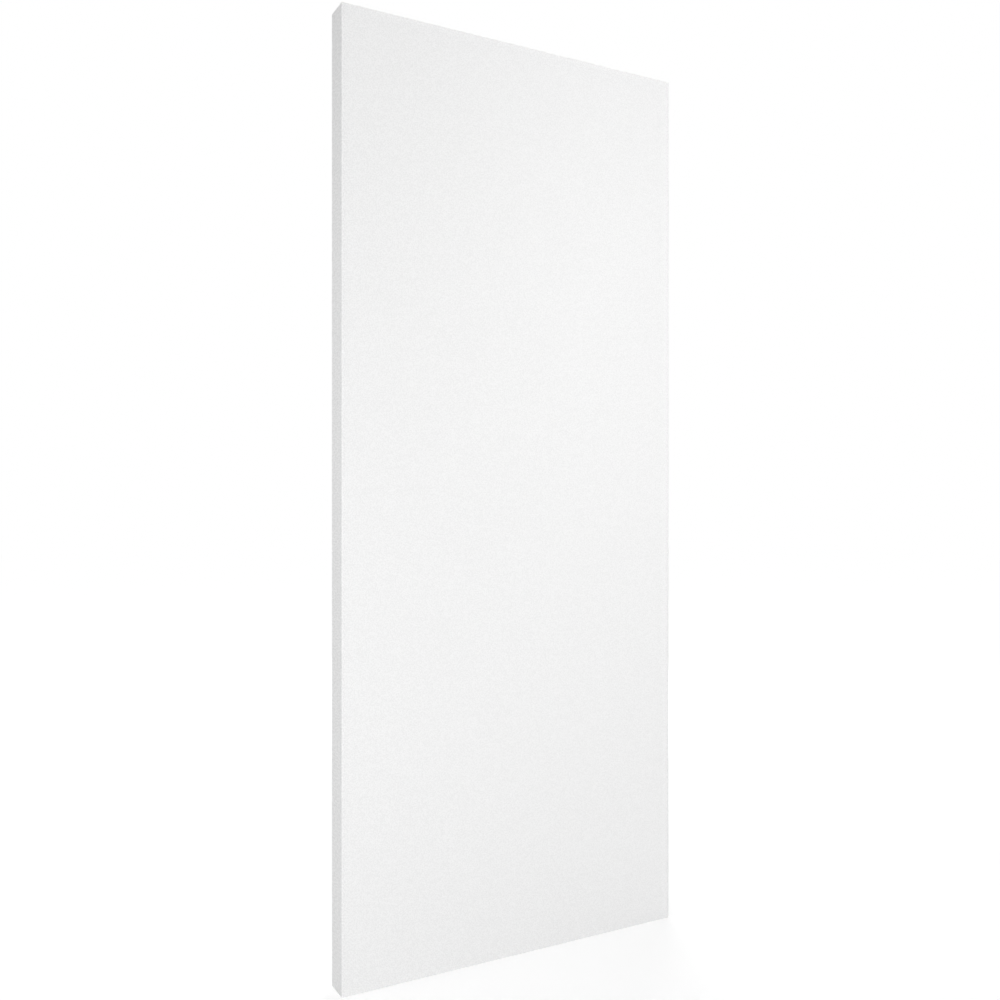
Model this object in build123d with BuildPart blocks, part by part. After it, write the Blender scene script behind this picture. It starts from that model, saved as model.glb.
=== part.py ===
from build123d import *
import os

# A flush fire door leaf: facings glued over a timber frame and a solid core, with lipped long edges.
# Millimetres, +Z up. The origin is on the hinge edge, at mid thickness, at the foot of the leaf.
# +X runs across the leaf to the lock edge, and the front face looks towards -Y.

# Finished leaf
leaf_width = 838.0
leaf_height = 1981.0
leaf_thickness = 54.0

# Pieces of the leaf
lipping_thickness = 8.0
arris_radius = 1.5
facing_thickness = 4.0
stile_width = 45.0
top_rail_height = 70.0
bottom_rail_height = 95.0

# Room that the facings and lippings leave for the frame, and the frame leaves for the core
frame_thickness = leaf_thickness - 2 * facing_thickness
facing_width = leaf_width - 2 * lipping_thickness
rail_length = facing_width - 2 * stile_width
core_height = leaf_height - top_rail_height - bottom_rail_height

# Planes that the pieces start from. On the two edge planes, local X runs into the leaf.
foot = Plane.XY
hinge_edge = Plane(origin=(0, 0, 0), x_dir=(1, 0, 0), z_dir=(0, 0, 1))
lock_edge = Plane(origin=(leaf_width, 0, 0), x_dir=(-1, 0, 0), z_dir=(0, 0, 1))
top_of_bottom_rail = foot.offset(bottom_rail_height)
foot_of_top_rail = foot.offset(leaf_height - top_rail_height)
front_of_frame = Plane.XZ.offset(frame_thickness / 2)
back_of_leaf = Plane.XZ.offset(-leaf_thickness / 2)

os.makedirs("parts", exist_ok=True)


def save(piece, name):
    """Label a finished piece and write it to its own file."""
    piece.part.label = name
    export_step(piece.part, f"parts/{name}.step")


# Lippings: hardwood strips over the full thickness of the leaf, their outer long arrises eased
for name, edge in (("hinge_lipping", hinge_edge), ("lock_lipping", lock_edge)):
    with BuildPart() as lipping:
        with BuildSketch(edge):
            Rectangle(lipping_thickness, leaf_thickness, align=(Align.MIN, Align.CENTER))
            fillet(vertices().group_by(Axis.X)[0], arris_radius)
        extrude(amount=leaf_height)
    save(lipping, name)

# Stiles: the uprights of the frame, glued behind the lippings from head to foot
for name, edge in (("hinge_stile", hinge_edge), ("lock_stile", lock_edge)):
    with BuildPart() as stile:
        with BuildSketch(edge):
            with Locations((lipping_thickness, 0)):
                Rectangle(stile_width, frame_thickness, align=(Align.MIN, Align.CENTER))
        extrude(amount=leaf_height)
    save(stile, name)

# Rails: the crosspieces of the frame, butted between the stiles at the foot and the head
for name, seat, height in (
    ("bottom_rail", foot, bottom_rail_height),
    ("top_rail", foot_of_top_rail, top_rail_height),
):
    with BuildPart() as rail:
        with BuildSketch(seat):
            with Locations((leaf_width / 2, 0)):
                Rectangle(rail_length, frame_thickness)
        extrude(amount=height)
    save(rail, name)

# Core: one solid slab that fills the frame
with BuildPart() as core:
    with BuildSketch(top_of_bottom_rail):
        with Locations((leaf_width / 2, 0)):
            Rectangle(rail_length, frame_thickness)
    extrude(amount=core_height)
save(core, "core")

# Facings: thin boards over the frame and core, from lipping to lipping. Both are built towards -Y.
for name, inner_side in (("front_facing", front_of_frame), ("back_facing", back_of_leaf)):
    with BuildPart() as facing:
        with BuildSketch(inner_side):
            with Locations((leaf_width / 2, 0)):
                Rectangle(facing_width, leaf_height, align=(Align.CENTER, Align.MIN))
        extrude(amount=facing_thickness)
    save(facing, name)
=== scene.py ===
import bpy
import math
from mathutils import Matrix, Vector


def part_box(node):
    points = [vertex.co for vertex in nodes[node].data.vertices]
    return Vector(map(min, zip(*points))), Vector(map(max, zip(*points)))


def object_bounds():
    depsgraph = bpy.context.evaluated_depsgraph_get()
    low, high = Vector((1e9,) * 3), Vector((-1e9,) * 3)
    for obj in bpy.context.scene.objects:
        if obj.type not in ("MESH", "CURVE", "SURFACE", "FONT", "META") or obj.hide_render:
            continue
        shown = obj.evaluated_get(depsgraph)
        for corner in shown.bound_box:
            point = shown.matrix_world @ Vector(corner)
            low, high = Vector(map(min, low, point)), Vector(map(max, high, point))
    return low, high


# A flush fire door leaf in white satin paint, on a pale floor in soft studio light. Metres, +Z up.
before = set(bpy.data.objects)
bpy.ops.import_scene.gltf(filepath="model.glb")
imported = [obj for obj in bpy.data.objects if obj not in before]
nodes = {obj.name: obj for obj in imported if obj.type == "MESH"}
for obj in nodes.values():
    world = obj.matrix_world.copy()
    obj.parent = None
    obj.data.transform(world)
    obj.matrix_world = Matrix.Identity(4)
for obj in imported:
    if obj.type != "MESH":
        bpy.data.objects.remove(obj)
cad_low, cad_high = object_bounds()
leaf_centre = (cad_low + cad_high) / 2

# The photograph's view: a level camera at mid height, in front of the leaf and left of it
CAMERA_ASIDE = 0.6901          # left of the hinge edge
CAMERA_AWAY = 1.7118           # in front of mid thickness
CAMERA_LEVEL = math.radians(90)   # up from looking straight down
CAMERA_TURN = math.radians(-24.88)
CAMERA_LENS_MM = 32.93
CAMERA_SENSOR_MM = 36.0
CAMERA_SHIFT_X = 0.1166

# Studio light: an even sky and soft boxes, each with its place, its aim, its sides and its watts
WHITE = (1, 1, 1, 1)
SKY_LIGHT = 0.415
SKY_SEEN = 1.0                 # plain white to the eye
SOFT_BOXES = {
    "front_lamp": ((-0.40, -3.35, 0.60), (1.15, 0.0, 0.05), (1.00, 1.60), 52.0),
    "corner_lamp": ((-2.50, -2.35, 2.60), (-0.25, 0.0, 0.30), (1.30, 1.45), 23.5),
    "edge_lamp": ((-1.75, 0.15, 1.55), (-1.20, 0.0, 0.0), (0.65, 1.60), 7.0),
    "grazing_lamp": ((0.65, -1.25, 1.90), (2.50, 0.0, 2.20), (0.75, 1.75), 5.5),
    "back_lamp": ((2.60, 2.60, 1.50), (0.60, 0.0, 0.95), (1.80, 1.80), 48.0),
    "top_lamp": ((0.42, 0.85, 4.00), (0.42, 0.0, 1.98), (2.40, 1.50), 27.0),
}

# Floor: pale to the lamps, near white to the eye, with the leaf's soft shadow left in it
FLOOR_SIDE = 30.0
FLOOR_TONE = 0.79
FLOOR_SEEN_TONE = 0.60
FLOOR_GLOW = (0.495, 0.75)     # near the leaf and far from it
FLOOR_GLOW_RISE = (0.8, 4.5)   # the distances from the leaf that it rises between

# Blender's textures: the range that most noise lies in, and how far apart rings lie at scale 1
NOISE_RANGE = (0.3, 0.7)
PATTERN_RANGE = (0.0, 1.0)     # what noise is stretched to, and what rings run over
RING_PERIOD = math.pi / 10

# Paint: its whites, and the sizes and heights of the marks that a spray coat leaves
FACING_WHITE = 0.88
LIPPING_WHITE = 0.87
PAINT_ROUGHNESS = (0.45, 0.51)
SPECKLE_SIZE = 0.0024
FACING_SPECKLE = 0.039
LIPPING_SPECKLE = 0.051
STIPPLE_SIZE = 0.0032
STIPPLE_HEIGHT = 0.00006
FLOW_SIZE = 0.16
FLOW_HEIGHT = 0.00012

# Lipping: cutter marks run across it, its grain shows faintly along it, and a highlight is painted along
# its eased arrises
ARRIS_PAINTED_HIGHLIGHT = 0.05              # painted highlight: how much whiter the paint is made half way round each arris
CUTTER_MARK_STRETCH = (1.0, 3.6, 1.3)
LIPPING_GRAIN_SIZE = 0.0030
LIPPING_GRAIN_STRETCH = (1.0, 1.0, 60.0)
LIPPING_GRAIN_HEIGHT = 0.00004

# Top and bottom edges: raw board and timber under one thin coat of white sealer
SEAL_ROUGHNESS = (0.63, 0.73)
BOARD_PALE = (0.79, 0.77, 0.74)
BOARD_DARK = (0.69, 0.66, 0.61)
BOARD_FIBRE_SIZE = 0.0007
BOARD_FIBRE_STRETCH = (5.0, 1.0, 1.0)
BOARD_FIBRE_HEIGHT = 0.00006
PORE_PALE = (0.82, 0.80, 0.77)
PORE_DARK = (0.70, 0.66, 0.60)
PORE_SIZE = 0.0009
PORE_HEIGHT = 0.00008
TIMBER_PALE = (0.84, 0.83, 0.81)
TIMBER_DARK = (0.73, 0.70, 0.65)
RING_SPACING = 0.0042
RING_HEIGHT = 0.00010
RING_WOBBLE = 2.0
RING_WOBBLE_SCALE = 0.6
ALONG_GRAIN = 0.03             # how much slower timber changes along its grain than across it

# Stiles and rails: the way each one's grain runs, and how far the log's heart lies from its middle
TIMBER_CUTS = {
    "hinge_stile": ("Z", Vector((0.012, 0.052, 0.0))),
    "lock_stile": ("Z", Vector((-0.018, -0.047, 0.0))),
    "top_rail": ("X", Vector((0.0, 0.038, 0.003))),
    "bottom_rail": ("X", Vector((0.0, -0.041, -0.012))),
}

# Core: pressed wood chips
CHIP_PALE = (0.66, 0.53, 0.37)
CHIP_DARK = (0.42, 0.31, 0.19)
CHIP_SIZES = (0.006, 0.0018, 0.006)
CHIP_HEIGHT = 0.0002
CHIP_ROUGHNESS = 0.8


def add_node(tree, kind, inputs=None, **settings):
    """One shader node. An input is a number, a colour or another node's output."""
    made = tree.nodes.new(kind)
    for name, value in settings.items():
        setattr(made, name, value)
    for name, value in (inputs or {}).items():
        if isinstance(value, bpy.types.NodeSocket):
            tree.links.new(value, made.inputs[name])
        else:
            made.inputs[name].default_value = value
    return made


def new_material(name):
    """A material with an empty node tree, and the object's own coordinates in it."""
    material = bpy.data.materials.new(name)
    material.use_nodes = True
    tree = material.node_tree
    tree.nodes.clear()
    return material, tree, add_node(tree, "ShaderNodeTexCoord").outputs["Object"]


def show(tree, finish):
    """Sends a finish, given as colour, roughness and normal, to the material's output."""
    surface = add_node(tree, "ShaderNodeBsdfPrincipled", finish).outputs["BSDF"]
    add_node(tree, "ShaderNodeOutputMaterial", {"Surface": surface})


def calculate(tree, operation, *values):
    """The output of one Math node."""
    return add_node(tree, "ShaderNodeMath", dict(enumerate(values)), operation=operation).outputs["Value"]


def rescale(tree, value, old_range, new_range, **settings):
    """A value brought from one range to another, and kept within it."""
    inputs = {
        "Value": value,
        "From Min": old_range[0],
        "From Max": old_range[1],
        "To Min": new_range[0],
        "To Max": new_range[1],
    }
    return add_node(tree, "ShaderNodeMapRange", inputs, **settings).outputs["Result"]


def in_units(tree, place, sizes):
    """Coordinates counted in the given sizes, one for each axis."""
    scale = [1 / size for size in sizes]
    return add_node(tree, "ShaderNodeMapping", {"Vector": place, "Scale": scale}).outputs["Vector"]


def noise(tree, place, size, stretch=(1, 1, 1), detail=2.0):
    """Soft noise with blotches of about that size, longer along an axis whose stretch is over 1."""
    blotches = in_units(tree, place, [size * s for s in stretch])
    made = add_node(tree, "ShaderNodeTexNoise", {"Vector": blotches, "Scale": 1.0, "Detail": detail})
    return made.outputs["Fac"]


def between(tree, pattern, first, second):
    """A colour from first to second as the pattern goes from 0 to 1."""
    made = add_node(tree, "ShaderNodeValToRGB", {"Fac": pattern})
    made.color_ramp.elements[0].color = (*first, 1)
    made.color_ramp.elements[1].color = (*second, 1)
    return made.outputs["Color"]


def bump(tree, height, distance, normal=None):
    """Surface relief whose values from 0 to 1 stand for heights up to distance."""
    inputs = {"Height": height, "Distance": distance}
    if normal is not None:
        inputs["Normal"] = normal
    return add_node(tree, "ShaderNodeBump", inputs).outputs["Normal"]


def surface_normal(tree):
    """The way that the bare surface faces, as its X, Y and Z."""
    normal = add_node(tree, "ShaderNodeNewGeometry").outputs["Normal"]
    return add_node(tree, "ShaderNodeSeparateXYZ", {"Vector": normal}).outputs


def on_an_arris(tree):
    """From 0 on the flats to 1 half way round an eased long arris."""
    normal = surface_normal(tree)
    turned = calculate(tree, "ABSOLUTE", calculate(tree, "MULTIPLY", normal["X"], normal["Y"]))
    # Half way round, X times Y is a half
    return calculate(tree, "MULTIPLY", turned, 2.0)


def sides_and_ends(tree, sides, ends):
    """One finish of two: the first on upright sides, the second on the leaf's top and bottom edges."""
    on_an_end = calculate(tree, "ABSOLUTE", surface_normal(tree)["Z"])
    finish = {}
    for name in sides:
        # A Mix node for vectors takes its two values on sockets 4 and 5, and gives its result on 1
        inputs = {0: on_an_end, 4: sides[name], 5: ends[name]}
        finish[name] = add_node(tree, "ShaderNodeMix", inputs, data_type="VECTOR").outputs[1]
    return finish


def satin_paint(tree, place, white, speckle_tone, marks_stretch=(1, 1, 1), grain=None):
    """White satin paint, sprayed: fine speckle and stipple over a slow flow, and any grain under it."""
    speckle = noise(tree, place, SPECKLE_SIZE, marks_stretch, detail=0.0)
    stipple = noise(tree, place, STIPPLE_SIZE, marks_stretch)
    flow = noise(tree, place, FLOW_SIZE)
    tone = rescale(tree, speckle, NOISE_RANGE, (white - speckle_tone, white + speckle_tone))
    relief = bump(tree, flow, FLOW_HEIGHT)
    if grain is not None:
        relief = bump(tree, grain, LIPPING_GRAIN_HEIGHT, relief)
    return {
        "Base Color": tone,
        "Roughness": rescale(tree, flow, NOISE_RANGE, PAINT_ROUGHNESS),
        "Normal": bump(tree, stipple, STIPPLE_HEIGHT, relief),
    }


def sealed(tree, pattern, pale, dark, height):
    """A thin coat of white sealer that lets the pattern of the wood show."""
    return {
        "Base Color": between(tree, pattern, pale, dark),
        "Roughness": rescale(tree, pattern, PATTERN_RANGE, SEAL_ROUGHNESS),
        "Normal": bump(tree, pattern, height),
    }


def painted_facing():
    """Board facing: satin paint on its face, sealed fibres on its sawn ends."""
    material, tree, place = new_material("painted_facing")
    paint = satin_paint(tree, place, FACING_WHITE, FACING_SPECKLE)
    fibres = noise(tree, place, BOARD_FIBRE_SIZE, BOARD_FIBRE_STRETCH)
    fibres = rescale(tree, fibres, NOISE_RANGE, PATTERN_RANGE)
    ends = sealed(tree, fibres, BOARD_PALE, BOARD_DARK, BOARD_FIBRE_HEIGHT)
    show(tree, sides_and_ends(tree, paint, ends))
    return material


def painted_lipping():
    """Hardwood lipping: satin paint over faint grain on its sides, with a painted highlight along its
    arrises, sealed pores on its sawn ends.
    """
    material, tree, place = new_material("painted_lipping")
    grain = noise(tree, place, LIPPING_GRAIN_SIZE, LIPPING_GRAIN_STRETCH)
    paint = satin_paint(tree, place, LIPPING_WHITE, LIPPING_SPECKLE, CUTTER_MARK_STRETCH, grain)
    tone = paint["Base Color"]
    # Painted highlight: the base colour is made whiter half way round each eased arris, where light would
    # catch it
    paint["Base Color"] = calculate(tree, "MULTIPLY_ADD", on_an_arris(tree), ARRIS_PAINTED_HIGHLIGHT, tone)
    pores = rescale(tree, noise(tree, place, PORE_SIZE), NOISE_RANGE, PATTERN_RANGE)
    ends = sealed(tree, pores, PORE_PALE, PORE_DARK, PORE_HEIGHT)
    show(tree, sides_and_ends(tree, paint, ends))
    return material


def sealed_timber(name, axis, heart):
    """Softwood under sealer: growth rings round a heart line that runs along an axis, outside the piece."""
    material, tree, place = new_material(name)
    slow = [ALONG_GRAIN if letter == axis else 1.0 for letter in "XYZ"]
    start = [-h * s for h, s in zip(heart, slow)]
    mapped = add_node(tree, "ShaderNodeMapping", {"Vector": place, "Scale": slow, "Location": start})
    rings = add_node(
        tree,
        "ShaderNodeTexWave",
        {
            "Vector": mapped.outputs["Vector"],
            "Scale": RING_PERIOD / RING_SPACING,
            "Distortion": RING_WOBBLE,
            "Detail Scale": RING_WOBBLE_SCALE,
        },
        wave_type="RINGS",
        rings_direction=axis,
        wave_profile="SAW",
    ).outputs["Fac"]
    show(tree, sealed(tree, rings, TIMBER_PALE, TIMBER_DARK, RING_HEIGHT))
    return material


def core_board():
    """Bare pressed chips."""
    material, tree, place = new_material("core_board")
    chip_places = in_units(tree, place, CHIP_SIZES)
    chips = add_node(tree, "ShaderNodeTexVoronoi", {"Vector": chip_places, "Scale": 1.0}).outputs
    tone = add_node(tree, "ShaderNodeSeparateColor", {"Color": chips["Color"]}).outputs["Red"]
    finish = {
        "Base Color": between(tree, tone, CHIP_DARK, CHIP_PALE),
        "Roughness": CHIP_ROUGHNESS,
        "Normal": bump(tree, chips["Distance"], CHIP_HEIGHT),
    }
    show(tree, finish)
    return material


def dress_leaf():
    """Gives each CAD piece its material."""
    looks = {"core": core_board()}
    looks["front_facing"] = looks["back_facing"] = painted_facing()
    looks["hinge_lipping"] = looks["lock_lipping"] = painted_lipping()
    for name, (axis, heart_offset) in TIMBER_CUTS.items():
        low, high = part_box(name)
        looks[name] = sealed_timber("sealed_" + name, axis, (low + high) / 2 + heart_offset)
    for name, material in looks.items():
        slots = nodes[name].data.materials
        slots.clear()
        slots.append(material)


def white_to_the_eye(tree, lit, seen):
    """The first shader for light on its way to a surface, the second for what the camera sees.

    What shows in a gloss or through glass counts as seen.
    """
    path = add_node(tree, "ShaderNodeLightPath").outputs
    share = calculate(tree, "MAXIMUM", path["Is Camera Ray"], path["Is Glossy Ray"])
    share = calculate(tree, "MAXIMUM", share, path["Is Transmission Ray"])
    return add_node(tree, "ShaderNodeMixShader", {0: share, 1: lit, 2: seen}).outputs["Shader"]


def make_sky():
    """Even light all round, seen as plain white."""
    world = bpy.data.worlds.new("studio")
    world.use_nodes = True
    tree = world.node_tree
    tree.nodes.clear()
    lit = add_node(tree, "ShaderNodeBackground", {"Color": WHITE, "Strength": SKY_LIGHT})
    seen = add_node(tree, "ShaderNodeBackground", {"Color": WHITE, "Strength": SKY_SEEN})
    sky = white_to_the_eye(tree, lit.outputs["Background"], seen.outputs["Background"])
    add_node(tree, "ShaderNodeOutputWorld", {"Surface": sky})
    bpy.context.scene.world = world


def matt(tree, tone):
    """An even grey without gloss."""
    return add_node(tree, "ShaderNodeBsdfDiffuse", {"Color": (tone, tone, tone, 1)}).outputs["BSDF"]


def make_floor():
    """A pale floor under the leaf's foot, which glows to the eye alone so that only the shadow shows."""
    material, tree, place = new_material("studio_floor")
    distance = add_node(tree, "ShaderNodeVectorMath", {0: place}, operation="LENGTH").outputs["Value"]
    strength = rescale(tree, distance, FLOOR_GLOW_RISE, FLOOR_GLOW, interpolation_type="SMOOTHSTEP")
    glow = add_node(tree, "ShaderNodeEmission", {"Color": WHITE, "Strength": strength})
    glowing = {0: matt(tree, FLOOR_SEEN_TONE), 1: glow.outputs["Emission"]}
    seen = add_node(tree, "ShaderNodeAddShader", glowing).outputs["Shader"]
    surface = white_to_the_eye(tree, matt(tree, FLOOR_TONE), seen)
    add_node(tree, "ShaderNodeOutputMaterial", {"Surface": surface})
    bpy.ops.mesh.primitive_plane_add(size=FLOOR_SIDE, location=(leaf_centre.x, leaf_centre.y, cad_low.z))
    floor = bpy.context.object
    floor.name = "floor"
    floor.data.materials.append(material)


def make_lamp(name, place, aim, sides, watts):
    """A soft box that lights the leaf and stays out of sight."""
    data = bpy.data.lights.new(name, "AREA")
    data.shape = "RECTANGLE"
    data.size, data.size_y = sides
    data.energy = watts
    lamp = bpy.data.objects.new(name, data)
    lamp.location = place
    lamp.rotation_euler = (Vector(aim) - Vector(place)).to_track_quat("-Z", "Y").to_euler()
    lamp.visible_camera = False
    bpy.context.scene.collection.objects.link(lamp)


def make_camera():
    """The photograph's camera."""
    data = bpy.data.cameras.new("camera")
    data.sensor_width = CAMERA_SENSOR_MM
    data.lens = CAMERA_LENS_MM
    data.shift_x = CAMERA_SHIFT_X
    camera = bpy.data.objects.new("camera", data)
    camera.location = (cad_low.x - CAMERA_ASIDE, leaf_centre.y - CAMERA_AWAY, leaf_centre.z)
    camera.rotation_euler = (CAMERA_LEVEL, 0, CAMERA_TURN)
    bpy.context.scene.collection.objects.link(camera)
    bpy.context.scene.camera = camera


dress_leaf()
make_sky()
make_floor()
for name, box in SOFT_BOXES.items():
    make_lamp(name, *box)
make_camera()
bpy.context.scene.view_settings.view_transform = "Standard"
